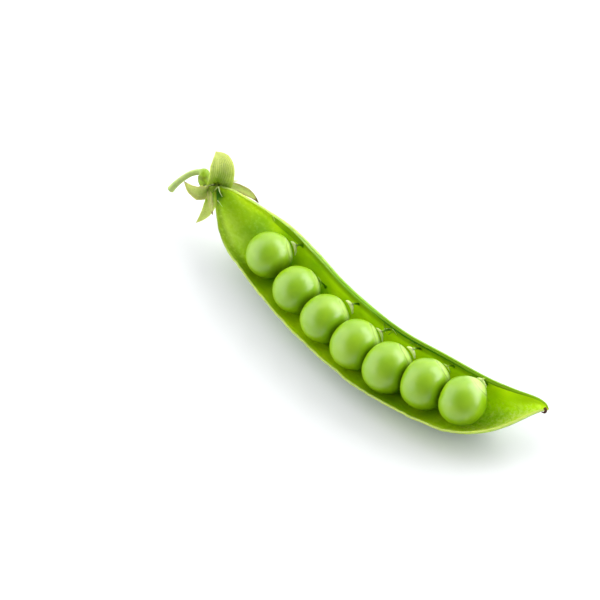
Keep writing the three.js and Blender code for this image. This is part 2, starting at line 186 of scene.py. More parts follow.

# Each lobe of the calyx: root, control and tip of its midline, the direction across it, its half width,
# the root's share of that width, how far its edges bend, how brown its edges and its tip are, and how much
# painted shade lies in its folds.
Lobe = namedtuple("Lobe", "root control tip across half share cup brown_edge brown_tip folds")
LOBES = {
    "hood": Lobe((-46.0, 0.9, 0.6), (-44.0, 4.2, 4.4), (-49.15, 5.6, 3.45), (0.6, 0.77, -0.19),
                 2.55, 1.08, -1.2, 0.12, 0.2, 0.9),
    "curled": Lobe((-47.1, -0.8, -0.5), (-47.5, -3.7, 0.4), (-51.1, -3.0, 2.5), (-0.07, 0.49, 0.87),
                   1.8, 0.6, -0.5, 0.3, 0.25, 0.8),
    "pointed": Lobe((-47.4, -0.4, -2.0), (-45.5, -3.2, -4.2), (-47.3, -7.5, -5.1), (0.86, -0.11, -0.48),
                    1.25, 0.8, 0.3, 0.05, 0.3, 0.0),
    "narrow": Lobe((-47.0, -0.9, -0.3), (-45.4, -2.6, -0.9), (-44.1, -4.5, -3.0), (0.73, 0.5, 0.3),
                   0.62, 0.85, 0.15, 0.35, 0.9, 0.0),
    "far": Lobe((-46.7, 1.3, -1.7), (-44.0, 5.0, -5.4), (-41.7, 4.3, -10.4), (-0.1, 0.5, 0.82),
                0.98, 0.9, 0.2, 0.5, 1.0, 0.5),
    "spike": Lobe((-45.6, 1.6, 0.35), (-44.5, 2.5, 0.1), (-42.75, 4.1, -0.55), (-0.5, 0.77, 0.39),
                  0.24, 1.0, 0.0, 0.1, 0.3, 0.0),
}
LOBE_WIDEST, LOBE_TIP_WIDTH = 0.4, 0.035
LOBE_RIBS, LOBE_RIB_DEPTH = 9, 0.014

# Painted shade in the folds of a lobe: the middle and reach of each across the lobe and along it.
FOLD_SHADES = [((-0.74, 0.2), (0.45, 0.5)), ((1.0, 0.16), (0.0, 0.13)), ((1.0, 0.07), (0.85, 0.12))]

# The calyx's cup: the middles of its two ends, (place, radius) along it, and the least radius. Its swellings
# and the ridges of the flower stalk are each a count, a height as a share of the radius, and a turn.
CUP_BACK, CUP_MOUTH = (-48.5, 0.4, 0.35), (-46.0, 0.3, -0.5)
CUP_PROFILE = [(0, 0.0), (0.3, 0.9), (0.9, 1.08), (1.6, 1.3), (2.2, 1.52), (2.6, 1.6)]
CUP_LEAST = 0.72
CUP_SWELLINGS, STALK_RIDGES = (5, 0.05, 1), (4, 0.035, 0)


# The middle lines of the flower stalk, from the calyx to its cut end, and of the withered style.
STALK_PATH = [
    (-47.9, -0.6, 0.1), (-48.8, -0.1, 0.5), (-49.6, 0.8, 0.9), (-50.6, 0.6, 1.1), (-51.8, -0.5, 1.1),
    (-52.88, -2.04, 0.62), (-53.96, -3.88, -0.26), (-54.77, -5.56, -1.33),
]
STYLE_PATH = [
    (40.9, 0.2, -0.1), (41.3, 0.05, 0.1), (41.5, -0.25, 0.2), (41.35, -0.6, 0.2), (40.9, -0.75, 0.15),
]
STYLE_RADIUS = 0.3

# Where the camera stands, and its right and backward directions, in the pod's own frame.
CAMERA_PLACE = (220.7, -79.5, 441.8)
CAMERA_RIGHT = (0.73, 0.62, -0.289)
CAMERA_BACK = (0.465, -0.139, 0.874)
CAMERA_LENS = 153.06

# The soft lights: the way to each from the middle of the pod (to the camera's right, up and back), and its
# distance, width and height in metres. Then half the floor's side, in metres.
POD_MIDDLE = (0, -7, 0)
LAMPS = {
    "box_right": ((0.84, 0.48, 0.22), 0.7, 0.42, 1.05),
    "panel_left": ((-0.92, 0.31, 0.19), 0.8, 0.9, 1.5),
    "panel_back": ((0.05, 0.97, 0.05), 1.4, 2.0, 1.0),
}
FLOOR_HALF = 3.0


# ---- what a user can change


def length(name, description, millimetres):
    """A length that a user can set, from millimetres."""
    return FloatProperty(name=name, description=description, default=millimetres * MM, unit="LENGTH")


def share(name, description, value):
    """A share or a factor that a user can set."""
    return FloatProperty(name=name, description=description, default=value, subtype="FACTOR")


def power(name, description, watts):
    """The power of a light that a user can set."""
    return FloatProperty(name=name, description=description, default=watts, unit="POWER")


def linear(*seen):
    """A colour of 0 to 255 a channel, as the eye sees it, turned into amounts of light."""
    seen = np.array(seen) / 255
    light = np.where(seen <= 0.04045, seen / 12.92, ((seen + 0.055) / 1.055) ** 2.4)
    return tuple(float(value) for value in light)


def tint(name, description, *seen):
    """A colour that a user can pick, from amounts of 0 to 255."""
    return FloatVectorProperty(
        name=name, description=description, subtype="COLOR", size=3, min=0, max=1, default=linear(*seen)
    )


class PodShape(bpy.types.PropertyGroup):
    """Sizes of the pod's half."""

    depth: length("Depth", "Inner depth of the valve under a pea", 5.6)
    wall: length("Wall", "Wall at the belly", 0.9)
    rim: length("Back edge", "Wall at the back seam", 0.44)
    bead: length("Seed seam bead", "Radius of the bead along the seed seam", 0.48)
    groove: share("Groove", "Depth of the groove along the bead, in bead radii", 0.3)
    torn: length("Torn edge", "How unevenly the back seam has split", 0.09)
    stations: IntProperty(name="Stations", description="Sections along the pod", default=440)


class PeaShape(bpy.types.PropertyGroup):
    """Sizes of the peas and their seed stalks."""

    plump: share("Plumpness", "Size of the peas, against the solids", 1.0)
    uneven: share("Unevenness", "How far a pea departs from a true ball", 0.012)
    cap: share("Cap size", "Size of the caps that clasp the peas, against their table", 1.0)
    cap_width: length("Cap width", "Half width of a cap", 0.34)
    stem: length("Seed stalk", "Radius of a seed stalk between seam and cap", 0.17)


class CalyxShape(bpy.types.PropertyGroup):
    """Sizes of the calyx and the flower stalk."""

    leaf: length("Lobe thickness", "Thickness of a lobe in its middle", 0.42)
    crinkle: length("Crinkle", "Waves along the edge of a lobe", 0.16)
    stalk: length("Stalk radius", "Radius of the flower stalk", 0.78)


class PodColours(bpy.types.PropertyGroup):
    """Colours of the skins."""

    inside: tint("Inside", "Lining of the pod", 174, 208, 6)
    inside_deep: tint("Inside, deep", "Lining in its greenest places", 139, 184, 4)
    inside_pale: tint("Inside, pale", "Lining where it has dried pale", 202, 226, 100)
    outside: tint("Outside", "Outer skin of the pod", 92, 142, 4)
    outside_deep: tint("Outside, deep", "Outer skin in its darkest places", 60, 108, 2)
    outside_pale: tint("Outside, pale", "Flecks and veins of the outer skin", 138, 176, 60)
    bead: tint("Seam bead", "Bead of the seed seam", 138, 184, 52)
    edge: tint("Back edge", "Flesh of the split back seam", 188, 206, 126)
    # Deep green: painted shadow under the seed seam's bead and along the lining's raised strip, and the own
    # dark green of the neck and of fresh seed stalks.
    dark_green_and_shadow: tint("Seam groove", "The deep green line under the bead", 36, 104, 0)
    pea: tint("Pea", "Skin of a pea", 140, 186, 0)
    pea_pale: tint("Pea, pale", "Skin of a pea where it is thin", 168, 206, 8)
    leaf: tint("Calyx", "A lobe of the calyx at its root", 134, 168, 2)
    leaf_pale: tint("Calyx, pale", "A lobe towards its tip", 212, 224, 130)
    brown: tint("Withered", "Withered edges and tips", 92, 66, 26)
    stalk: tint("Flower stalk", "Skin of the flower stalk", 176, 200, 116)
    straw: tint("Straw", "Where the calyx has gone pale and dry", 204, 202, 128)
    cap: tint("Seed stalk", "Flesh of the seed stalks", 232, 255, 168)
    style: tint("Style", "The withered style at the tip", 66, 30, 14)


class StageLook(bpy.types.PropertyGroup):
    """The floor and the lights."""

    floor: tint("Floor", "The pale floor", 250, 251, 252)
    box_right: power("Right box", "Power of the soft box on the right", 6.4)
    panel_left: power("Left panel", "Power of the wide soft panel on the left", 6.2)
    panel_back: power("Back panel", "Power of the wide soft panel at the back", 5.2)
    sky: FloatProperty(name="Surroundings", description="Brightness of the white surroundings", default=0.94)
    lens_side: share("Lens side", "Share of that brightness behind the camera", 0.24)


# ---- curves and ripples


def curve_through(points, x):
    """Y at X on a smooth curve through (X, Y) points.

    Between two points it is the cubic that meets both of them and has, at each, the slope of the straight
    line from the point before it to the point after it.
    """
    px, py = np.asarray(points, float).T
    place = np.arange(len(px))
    before, after = np.maximum(place - 1, 0), np.minimum(place + 1, len(px) - 1)
    slope = (py[after] - py[before]) / (px[after] - px[before])
    i = np.clip(np.searchsorted(px, x, side="right") - 1, 0, len(px) - 2)
    h = px[i + 1] - px[i]
    t = np.clip((x - px[i]) / h, 0, 1)
    s = 1 - t
    ends = (1 + 2 * t) * s * s * py[i] + t * t * (3 - 2 * t) * py[i + 1]
    return ends + t * s * h * (s * slope[i] - t * slope[i + 1])


def path_through(points, t):
    """A point at t (0 to 1) on a smooth path: each coordinate is a curve through equal steps of t."""
    points = np.asarray(points, float)
    steps = np.linspace(0, 1, len(points))
    return np.stack([curve_through(np.c_[steps, line], t) for line in points.T], axis=-1)


def bend(t, start, control, end):
    """A point at t (0 to 1) on a quadratic curve: (1 - t)²·start + 2t(1 - t)·control + t²·end."""
    return (1 - t) ** 2 * start + 2 * t * (1 - t) * control + t * t * end


def ripple(x, pitch, seed):
    """Uneven waves between about -1 and 1: six sines of pitches from 2.2 down to 0.35 times the given one,
    each weighted by the root of its pitch and shifted by a fixed odd amount."""
    rng = np.random.default_rng(seed)
    pitches = pitch * np.geomspace(2.2, 0.35, 6) * rng.uniform(0.9, 1.1, 6)
    shifts = rng.uniform(0, 2 * np.pi, 6)
    weights = np.sqrt(pitches) / np.sqrt(pitches).sum()
    return 1.6 * np.sum(weights * np.sin(2 * np.pi * np.asarray(x)[..., None] / pitches + shifts), axis=-1)


def bump_at(x, middle, reach):
    """A soft bump of height 1: the bell curve exp(-((x - middle) / reach)²)."""
    return np.exp(-(((x - middle) / reach) ** 2))


def ramp(x, start, end):
    """0 before start and 1 after end, in a straight line between them."""
    return np.clip((x - start) / (end - start), 0, 1)


def step(x, start, end):
    """0 before start and 1 after end, by the cubic t²(3 - 2t) between them."""
    t = ramp(x, start, end)
    return t * t * (3 - 2 * t)


def signed_power(x, exponent):
    """x's size to a power, with the sign of x."""
    return np.sign(x) * np.abs(x) ** exponent


def unit(vectors):
    """The same directions, one long."""
    return vectors / np.linalg.norm(vectors, axis=-1, keepdims=True)


def around(count):
    """Angles of a whole turn in equal steps."""
    return 2 * np.pi * np.arange(count) / count


# ---- meshes from grids


def laying_turn():
    """Turns the pod's frame into the part's: rolled about X to raise the seed seam, then pitched."""
    roll, pitch = math.radians(REST_ROLL), math.radians(REST_PITCH)
    c, s = math.cos(roll), math.sin(roll)
    about_x = np.array([[1, 0, 0], [0, c, -s], [0, s, c]])
    c, s = math.cos(pitch), math.sin(pitch)
    about_y = np.array([[c, 0, -s], [0, 1, 0], [s, 0, c]])
    return about_y @ about_x


LAYING = laying_turn()


def laid(points):
    """Points of the pod's frame in millimetres, as points of the part's frame in metres."""
    return (np.asarray(points, float) @ LAYING.T + np.array(POD_PLACE)) * MM


def rest_flat(points):
    """Points of the pod's frame, with those that would lie under the floor pressed up to it."""
    up = LAYING[2]
    low = points @ up + POD_PLACE[2]
    return points + np.maximum(-low, 0)[..., None] * up


def tube_faces(rings, sides):
    """Corners of the faces of a closed tube of rings, and of the fans on two further points at its ends."""
    ring, side = np.meshgrid(np.arange(rings - 1), np.arange(sides), indexing="ij")
    a = (ring * sides + side).ravel()
    b = (ring * sides + (side + 1) % sides).ravel()
    quads = np.stack([a, b, b + sides, a + sides], axis=1)
    k = np.arange(sides)
    last = (rings - 1) * sides
    start = np.stack([np.full(sides, rings * sides), (k + 1) % sides, k], axis=1)
    end = np.stack([np.full(sides, rings * sides + 1), last + k, last + (k + 1) % sides], axis=1)
    return quads, np.concatenate([start, end])


def with_ends(values):
    """A grid's values as a list, followed by the means of its first and its last ring."""
    width = values.shape[2:] or (1,)
    ends = [values[end].mean(0).reshape(1, *width) for end in (0, -1)]
    return np.concatenate([values.reshape(-1, *width), *ends])


class Skin:
    """A closed surface: a grid of rings round a body, with a middle point at either end.

    points is a grid (rings, sides, 3) in the pod's frame. Each tag is a number for every point of that grid,
    which a material can read. It is given as a grid, or as anything that spreads over one.
    """

    def __init__(self, points, tags):
        self.points = points
        self.tags = {name: np.broadcast_to(value, points.shape[:2]) for name, value in tags.items()}


def make_piece(name, skins, material, nodes):
    """One object from skins, laid down in the part's frame. It stands for the solids named in nodes."""
    starts, corners, points = [], [], []
    offset = loops = 0
    for skin in skins:
        quads, fans = tube_faces(*skin.points.shape[:2])
        corners += [quads.ravel() + offset, fans.ravel() + offset]
        starts += [loops + 4 * np.arange(len(quads)), loops + quads.size + 3 * np.arange(len(fans))]
        loops += quads.size + fans.size
        points.append(with_ends(skin.points))
        offset += len(points[-1])
    points = np.concatenate(points)
    corners = np.concatenate(corners).astype(np.int32)
    starts = np.concatenate(starts).astype(np.int32)
    mesh = bpy.data.meshes.new(name)
    mesh.vertices.add(len(points))
    mesh.vertices.foreach_set("co", laid(points).astype(np.float32).ravel())
    mesh.loops.add(len(corners))
    mesh.loops.foreach_set("vertex_index", corners)
    mesh.polygons.add(len(starts))
    mesh.polygons.foreach_set("loop_start", starts)
    mesh.update(calc_edges=True)
    mesh.polygons.foreach_set("use_smooth", np.ones(len(starts), bool))
    for tag in skins[0].tags:
        values = np.concatenate([with_ends(skin.tags[tag]) for skin in skins]).astype(np.float32)
        mesh.attributes.new(tag, "FLOAT", "POINT").data.foreach_set("value", values.ravel())
    places = mesh.attributes.new("pod", "FLOAT_VECTOR", "POINT")
    places.data.foreach_set("vector", points.astype(np.float32).ravel())
    mesh.materials.append(material)
    piece = bpy.data.objects.new(name, mesh)
    bpy.context.scene.collection.objects.link(piece)
    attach(piece, "root")
    if nodes:
        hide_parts(*nodes)
    return piece


def tube_on(path, across, wide, tall, sides, ridges=(0, 0.0, 0.0)):
    """Rings of oval section on a path of points: middle + wide·cos(angle)·first + tall·sin(angle)·second.

    second is at right angles to the path and to the given direction, and first to the path and second. Soft
    ridges along the tube are (count, height, turn): they multiply both by 1 + height·cos(count·angle + turn).
    """
    tangent = unit(np.gradient(path, axis=0))
    second = unit(np.cross(tangent, across))
    first = np.cross(second, tangent)
    angle = around(sides)
    count, height, turn = ridges
    swelling = 1 + height * np.cos(count * angle + turn)
    a = np.reshape(wide, (-1, 1)) * swelling * np.cos(angle)
    b = np.reshape(tall, (-1, 1)) * swelling * np.sin(angle)
    return path[:, None] + a[..., None] * first[:, None] + b[..., None] * second[:, None]


# ---- the valve


def swell(x):
    """How far the half has swelled at X: a quarter sine up from the neck times one to the tip, to a power."""
    from_neck = np.sin(np.pi / 2 * ramp(x, NECK_X, NECK_X + NECK_RISE))
    from_tip = np.sin(np.pi / 2 * ramp(x, TIP_X, TIP_X - TIP_RISE))
    return (from_neck * from_tip) ** SWELL_POWER


def pillow(x):
    """1 over a pea and lower between two: the sum of a bell curve at each pea, with its top cut off."""
    return np.minimum(sum(bump_at(x, place, PILLOW_REACH) for place, _ in PEAS), PILLOW_TOP)


def along_row(x):
    """1 along the row of peas, fading out past its ends by a logistic curve."""
    return 1 / (1 + np.exp((-ROW_END - x) / ROW_FADE)) / (1 + np.exp((x - ROW_END) / ROW_FADE))


def valve_sizes(x, shape):
    """Sizes of the valve's section at X, in millimetres."""
    seed, back = curve_through(SEED_SEAM, x), curve_through(BACK_SEAM, x)
    width = seed - back
    full = ramp(x, *BEAD_AT_STEM) * ramp(x, *BEAD_AT_TIP)
    depth = shape.depth / MM * swell(x) - RIDGE_RISE * along_row(x) * (1 - pillow(x))
    return {
        "seed": seed,
        "back": back,
        "middle": curve_through(TROUGH, x),
        "bead": np.minimum(THIN_BEAD + (shape.bead / MM - THIN_BEAD) * full, BEAD_SHARE * width),
        "rim": np.minimum(shape.rim / MM, RIM_SHARE * width),
        "wall": np.minimum(shape.wall / MM, WALL_SHARE * width),
        "depth": np.maximum(depth, LEAST_DEPTH),
    }


def bowl(phi, middle, back, seed, depth, seed_power):
    """One side of the valve's section at angle phi from its deepest line, -90° at the back seam and 90° at
    the seed seam: Y = middle + sin(phi)·half width of that side, Z = -depth·cos(phi)^power of that side."""
    s, c = np.sin(phi), np.maximum(np.cos(phi), 0)
    y = middle + s * np.where(s < 0, middle - back, seed - middle)
    return y, -depth * c ** np.where(s < 0, BACK_POWER, seed_power)


def crowded(count, ends=0.3):
    """Numbers from -1 to 1 that crowd towards both ends: (1 + ends)·w - ends·w³ for even steps of w."""
    w = np.linspace(-1, 1, count)
    return (1 + ends) * w - ends * w**3


def along_section(y, z):
    """Length of each section's line from its first point, in millimetres."""
    steps = np.hypot(np.diff(y, axis=1), np.diff(z, axis=1))
    return np.concatenate([np.zeros((len(y), 1)), np.cumsum(steps, axis=1)], axis=1)


def lining(x, phi, shape, torn=0.0):
    """The valve's inside at X and at angle phi of the section: the inner bowl, with a thin raised strip along
    the seed seam that ends bluntly before the first pea."""
    v = valve_sizes(x, shape)
    back, seed = v["back"] + v["rim"] + torn, v["seed"] - BEAD_BACKING * v["bead"]
    y, z = bowl(phi, v["middle"], back, seed, v["depth"], SEED_POWER)
    strip = step(np.sin(phi), *STRIP_ACROSS) * step(x, *STRIP_START) * step(x, *STRIP_STOP)
    return y + STRIP_SHIFT[0] * strip, z + STRIP_SHIFT[1] * strip, strip


# The shell's tags: place across it, 1 on the inside, nearness to the bead and to the back edge, place round
# the bead from its outer foot (0) to its inner one (1), and the raised strip.
SHELL_TAGS = ("across", "inner", "bead", "edge", "round_bead", "strip")


def shell_part(x, y, z, *tags):
    """A part of the shell's sections, from their coordinates and the tags in order."""
    return Skin(np.stack(np.broadcast_arrays(x, y, z), axis=-1), dict(zip(SHELL_TAGS, tags)))


def valve_skin(shape):
    """The whole shell as one closed skin.

    Along it the stations crowd towards both ends, at t - crowding·sin(2πt)/(2π) of its length. Round it run
    the outside bowl, the bead of the seed seam, the inside bowl and the split back edge. The bead is most of
    a circle, with a bell curve taken off its top as a groove, and the back edge is half an oval that wavers.
    """
    t = np.linspace(0, 1, shape.stations + 1)
    x = (NECK_X + (TIP_X - NECK_X) * (t - CROWDING * np.sin(2 * np.pi * t) / (2 * np.pi)))[:, None]
    v = valve_sizes(x, shape)
    tearing = shape.torn / MM * step(x, NECK_X, NECK_X + STEADY_NECK) * step(x, TIP_X, TIP_X - STEADY_TIP)
    torn = tearing * ripple(x, *WAVES)
    nibble = tearing * np.maximum(ripple(x, *NIBBLES) - NIBBLE_FLOOR, 0)

    phi = np.pi / 2 * crowded(BOWL_POINTS)
    depth = v["depth"] + v["wall"]
    y, z = bowl(phi, v["middle"], v["back"] + torn, v["seed"], depth, SEED_POWER_OUTSIDE)
    near_bead, near_edge = np.exp(z / BEAD_FADE_OUT) * (phi > 0), np.exp(z / EDGE_FADE_OUT) * (phi < 0)
    outside = shell_part(x, y, z, np.sin(phi), 0, near_bead, near_edge, 0, 0)

    turn = np.radians(np.linspace(BEAD_FROM, BEAD_TO, BEAD_POINTS))
    dent = bump_at(turn, math.radians(GROOVE_MIDDLE), math.radians(GROOVE_REACH))
    radius = v["bead"] * (1 - shape.groove * step(x, *GROOVE_START) * dent)
    y = v["seed"] - v["bead"] + radius * np.cos(turn)
    z = radius * np.sin(turn) + v["bead"] * BEAD_LIFT
    round_bead = turn / math.radians(BEAD_TO)
    bead = shell_part(x, y, z, 1, step(round_bead, *BEAD_TURNS), 1, 0, round_bead, 0)

    last = math.radians(LINING_END)
    phi = (last - np.pi / 2) / 2 - (last + np.pi / 2) / 2 * crowded(LINING_POINTS)
    y, z, strip = lining(x, phi, shape, torn)
    down = along_section(y, z)
    near_bead, near_edge = bump_at(down, 0, BEAD_FADE_IN), np.exp(-(down[:, -1:] - down) / EDGE_FADE_IN)
    inside = shell_part(x, y, z, np.sin(phi), 1, near_bead, near_edge, 1, strip)

    lip = np.linspace(0, 1, LIP_POINTS)[1:-1]
    y = v["back"] + torn + v["rim"] * (0.5 + 0.5 * np.cos(np.pi * lip))
    z = (LIP_HEIGHT * v["rim"] + nibble) * np.sin(np.pi * lip)
    edge = shell_part(x, y, z, -1, 1 - step(lip, *LIP_TURNS), 0, 1, 0, 0)

    parts = (outside, bead, inside, edge)
    tags = {name: np.concatenate([part.tags[name] for part in parts], axis=1) for name in SHELL_TAGS}
    return Skin(rest_flat(np.concatenate([part.points for part in parts], axis=1)), tags)


# ---- the peas and their stalks


def pea_centre(index):
    """The middle of a pea: on the line of the trough, just under the plane of the seams."""
    x = PEAS[index][0]
    return np.array([x, float(curve_through(TROUGH, np.array(x))), PEA_Z])


def cap_direction(index):
    """From a pea's middle to its cap: to the seed seam, leaning to the tip and rising over the seams."""
    lean, rise = math.radians(CAPS[index].lean), math.radians(CAPS[index].rise)
    return np.array([math.sin(lean) * math.cos(rise), math.cos(lean) * math.cos(rise), math.sin(rise)])


def neighbours(index):
    """For each pea beside this one: the direction to it, and the distance to where the two touch, which parts
    the way between their middles as their radii do."""
    centre, radius = pea_centre(index), PEAS[index][1]
    for beside in (index - 1, index + 1):
        if 0 <= beside < len(PEAS):
            way = pea_centre(beside) - centre
            distance = np.linalg.norm(way)
            yield way / distance, distance * radius / (radius + PEAS[beside][1])


def pea_reach(index, direction, shape):
    """Distance from a pea's middle to its skin in a direction.

    It is radius·press^(-1/8), where press is 1 plus, for each pea beside it, ((radius·cosine of the angle to
    it) / distance of the contact)^8, so that neighbours flatten each other. A pea may rise to a soft corner
    under its cap, as a bell curve of the distance from the cap's direction.
    """
    radius = PEAS[index][1]
    press = np.ones(direction.shape[:-1])
    for way, contact in neighbours(index):
        press += (radius * np.maximum(direction @ way, 0) / contact) ** PRESS_POWER
    from_cap = np.linalg.norm(direction - cap_direction(index), axis=-1)
    corner = 1 + CAPS[index].corner * bump_at(from_cap, 0, CORNER_REACH)
    return radius * shape.plump * corner * press ** (-1 / PRESS_POWER)


def pea_skin(index, shape):
    """A pea as rings round the axis of its cap.

    To the pressed ball are added low uneven waves, a shallow dip where the cap sits and the soft swelling of
    the seed's root beside it. The tags say how near its cap a point is, and how much painted shade, in deep
    green, it takes: more towards its neighbours and towards the wall behind it.
    """
    axis = cap_direction(index)
    side = unit(np.cross(axis, UPWARD))
    third = np.cross(side, axis)
    rings, sides = PEA_GRID
    polar = np.linspace(0, np.pi, rings + 2)[1:-1, None]
    turn = around(sides)
    direction = (
        np.cos(polar)[..., None] * axis
        + (np.sin(polar) * np.cos(turn))[..., None] * side
        + (np.sin(polar) * np.sin(turn))[..., None] * third
    )
    waves = sum(
        ripple(direction @ unit(np.array(way)), pitch, PEA_SEED + 7 * index + k)
        for k, (way, pitch) in enumerate(PEA_WAVES)
    )
    waves = shape.uneven * waves / len(PEA_WAVES) * step(polar, *WAVES_BEGIN)
    dip = CAP_DIP * bump_at(polar, 0, CAP_DIP_REACH)
    root = ROOT_SWELLING * bump_at(polar, ROOT_AT, ROOT_REACH) * bump_at(np.cos(turn), -1, ROOT_WIDTH)
    reach = pea_reach(index, direction, shape) * (1 + waves - dip + root)
    # Painted shade, in deep green, on the side towards the wall behind the pea and towards each neighbour.
    deep = WALL_SHADE * step(direction @ unit(np.array(WALL_SIDE)), *WALL_FACING)
    for way, _ in neighbours(index):
        deep = deep + NEIGHBOUR_SHADE * step(direction @ way, *NEIGHBOUR_FACING)
    tags = {"near_cap": bump_at(polar, 0, CAP_PALE_REACH), "deep": np.minimum(deep, 1)}
    return Skin(pea_centre(index) + reach[..., None] * direction, tags)


def seed_stalk_skins(index, peas, pod):
    """A seed stalk: a cap beside the pea, and a short stem from the cap's peak to the wall under the bead.

    The cap is an oval tube along a line that bends round the pea: each point sinks by its distance² /
    (2·radius). Its height rises from both ends to a peak nearer its upper end, and the side towards the pea
    stays level. The stem is a quadratic curve, thicker at both its ends, which bows out of the cap where it
    is rooted under the bead. The tags say how white and how fresh a green each point is.
    """
    cap = CAPS[index]
    centre, out = pea_centre(index), cap_direction(index)
    radius = float(pea_reach(index, out[None, :], peas)[0])
    slant = unit(np.array(CAP_SLANT) - (np.array(CAP_SLANT) @ out) * out)
    s = np.linspace(-1, 1, CAP_GRID[0])
    slope = np.minimum((s + 1) / (CAP_PEAK + 1), (1 - s) / (1 - CAP_PEAK))
    rising = (1 - CAP_ENDS) * slope**CAP_POWER * (1 + 0.12 * ripple(s, 0.7, index))
    tall = cap.height * peas.cap * (CAP_ENDS + rising)
    place = cap.half * peas.cap * s
    lift = radius + cap.gap + tall / 2 - place**2 / (2 * radius)
    line = centre + lift[:, None] * out + place[:, None] * slant
    oval = np.sqrt(np.clip(1 - s**2, 0.03, 1))
    thick = peas.cap_width / MM * oval * (1 + 0.15 * ripple(s, 0.5, index + 20))
    clasp = tube_on(line, np.cross(out, slant), thick, tall / 2, CAP_GRID[1])

    peak = line[np.argmax(tall)] + STEM_TOP * tall.max() * out
    x = peak[0] + STEM_RUN
    y, z, _ = lining(np.array([x]), np.array([math.radians(cap.root_angle)]), pod)
    root = np.array([x, float(y[0]) + STEM_IN_WALL, float(z[0])])
    bowed = peak + STEM_BOW * np.linalg.norm(peak - root) * out
    knee = bowed if cap.root_angle == UNDER_BEAD else (peak + root) / 2
    t = np.linspace(0, 1, STEM_GRID[0])[:, None]
    thin = peas.stem / MM * (1 + 0.6 * (1 - t) ** 3 + 0.7 * t**4)
    stem = tube_on(bend(t, peak - STEM_IN_CAP * out, knee, root), UPWARD, thin, thin, STEM_GRID[1])
    stem_tags = {"white": cap.white * 0.5 * (1 - t) ** 3, "fresh": cap.white * step(t, 0.2, 0.5)}
    return [Skin(clasp, {"white": cap.white, "fresh": 0}), Skin(stem, stem_tags)]


def thread_skin(points, radius, pale, pod):
    """A torn thread: a thin tapering tube on a smooth path of points over the lining."""
    x, across, over = np.array(points).T
    y, z, _ = lining(x, np.arcsin(across), pod)
    t = np.linspace(0, 1, THREAD_GRID[0])
    path = path_through(np.stack([x, y, z + over], axis=1), t)
    uneven = 1 + 0.25 * ripple(t * 4, 1.0, int(10 * radius + 100 * abs(x[0])))
    thin = radius * (1 - 0.6 * t) * uneven
    tube = tube_on(path, (0.3, 0.2, 1.0), thin, 0.8 * thin, THREAD_GRID[1])
    return Skin(tube, {"white": pale, "fresh": 1 - pale})


# ---- the calyx and the flower stalk


def lobe_skin(name, calyx):
    """A lobe of the calyx: a thin blade on a quadratic curve.

    At t along and v across it is curve(t) + side·half·width(t)·v + normal·cup·width(t)·v², with crinkles that
    grow towards its edges and fine ribs along both its faces. Its section is a flat rounded oval, and its
    width rises to its widest place and then falls to a point.
    """
    lobe = LOBES[name]
    root, control, tip = (np.array(point) for point in (lobe.root, lobe.control, lobe.tip))
    t = np.linspace(0, 1, LOBE_GRID[0])[:, None]
    line = bend(t, root, control, tip)
    tangent = unit((1 - t) * (control - root) + t * (tip - control))
    normal = -unit(np.cross(lobe.across, tangent))
    side = np.cross(normal, tangent)
    rising = lobe.share + (1 - lobe.share) * np.sin(np.pi / 2 * ramp(t, 0, LOBE_WIDEST))
    falling = np.maximum(np.cos(np.pi / 2 * ramp(t, LOBE_WIDEST, 1)), 0) ** 0.9
    width = np.maximum(np.where(t < LOBE_WIDEST, rising, falling), LOBE_TIP_WIDTH)
    turn = around(LOBE_GRID[1])
    v = signed_power(np.cos(turn), 0.75)
    face = signed_power(np.sin(turn), 0.5)
    seed = len(name)
    waves = ripple(t * 9 + v, 3.0, seed) + 0.5 * v * ripple(t * 9, 1.6, seed + 1)
    crinkle = calyx.crinkle / MM * v**2 * np.sin(np.pi * t) * waves
    ribs = -LOBE_RIB_DEPTH * np.cos(v * LOBE_RIBS * np.pi) * np.sin(np.pi * t)
    thick = calyx.leaf / MM * (0.55 + 0.45 * width) / 2
    lift = lobe.cup * width * v**2 + crinkle + face * thick + ribs * np.sign(face)
    points = line[:, None] + (lobe.half * width * v)[..., None] * side[:, None]
    points = points + lift[..., None] * normal[:, None]
    wilt = lobe.brown_edge * (0.3 + 0.7 * step(np.abs(v), 0.1, 0.95)) + lobe.brown_tip * step(t, 0.8, 1.0)
    # Painted shade in the lobe's folds.
    fold = lobe.folds * sum(bump_at(v, *place) * bump_at(t, *along) for place, along in FOLD_SHADES)
    tags = {"along": t, "across": v, "wilt": np.clip(wilt, 0, 1), "fold": np.clip(fold, 0, 1)}
    return Skin(rest_flat(points), tags)


def cup_skin():
    """The cup of the calyx: rings round the line from the flower stalk to the neck, their radius by the
    profile, with five low swellings below the lobes."""
    back, mouth = np.array(CUP_BACK), np.array(CUP_MOUTH)
    places, radii = np.array(CUP_PROFILE).T
    s = np.linspace(0, places[-1], CUP_GRID[0])[:, None]
    radius = np.maximum(np.interp(s, places, radii), CUP_LEAST)
    line = back + unit(mouth - back) * s
    points = tube_on(line, UPWARD, radius, radius, CUP_GRID[1], CUP_SWELLINGS)
    tags = {
        "along": 0.2 * s / places[-1] - 0.2,
        "across": 0,
        "wilt": 0.35 * bump_at(s, 0, 0.8),
        # A darker green towards the mouth, on the same tag as the lobes' painted fold shade.
        "fold": 0.9 * step(s, 1.2, 2.4),
    }
    return Skin(rest_flat(points), tags)


def stalk_skin(calyx):
    """The flower stalk: a round tube on a smooth path, thicker at the calyx and at its cut end, with four
    soft ridges along it and a rounded cut."""
    t = np.linspace(0, 1, STALK_GRID[0])
    radius = calyx.stalk / MM * (0.8 + 0.8 * step(t, 0.44, 0.28) + 0.22 * t**6)
    radius = radius * np.sqrt(np.clip((1 - t) / 0.03 + 0.35, 0, 1))
    points = tube_on(path_through(STALK_PATH, t), UPWARD, radius, radius, STALK_GRID[1], STALK_RIDGES)
    return Skin(points, {"along": t[:, None]})


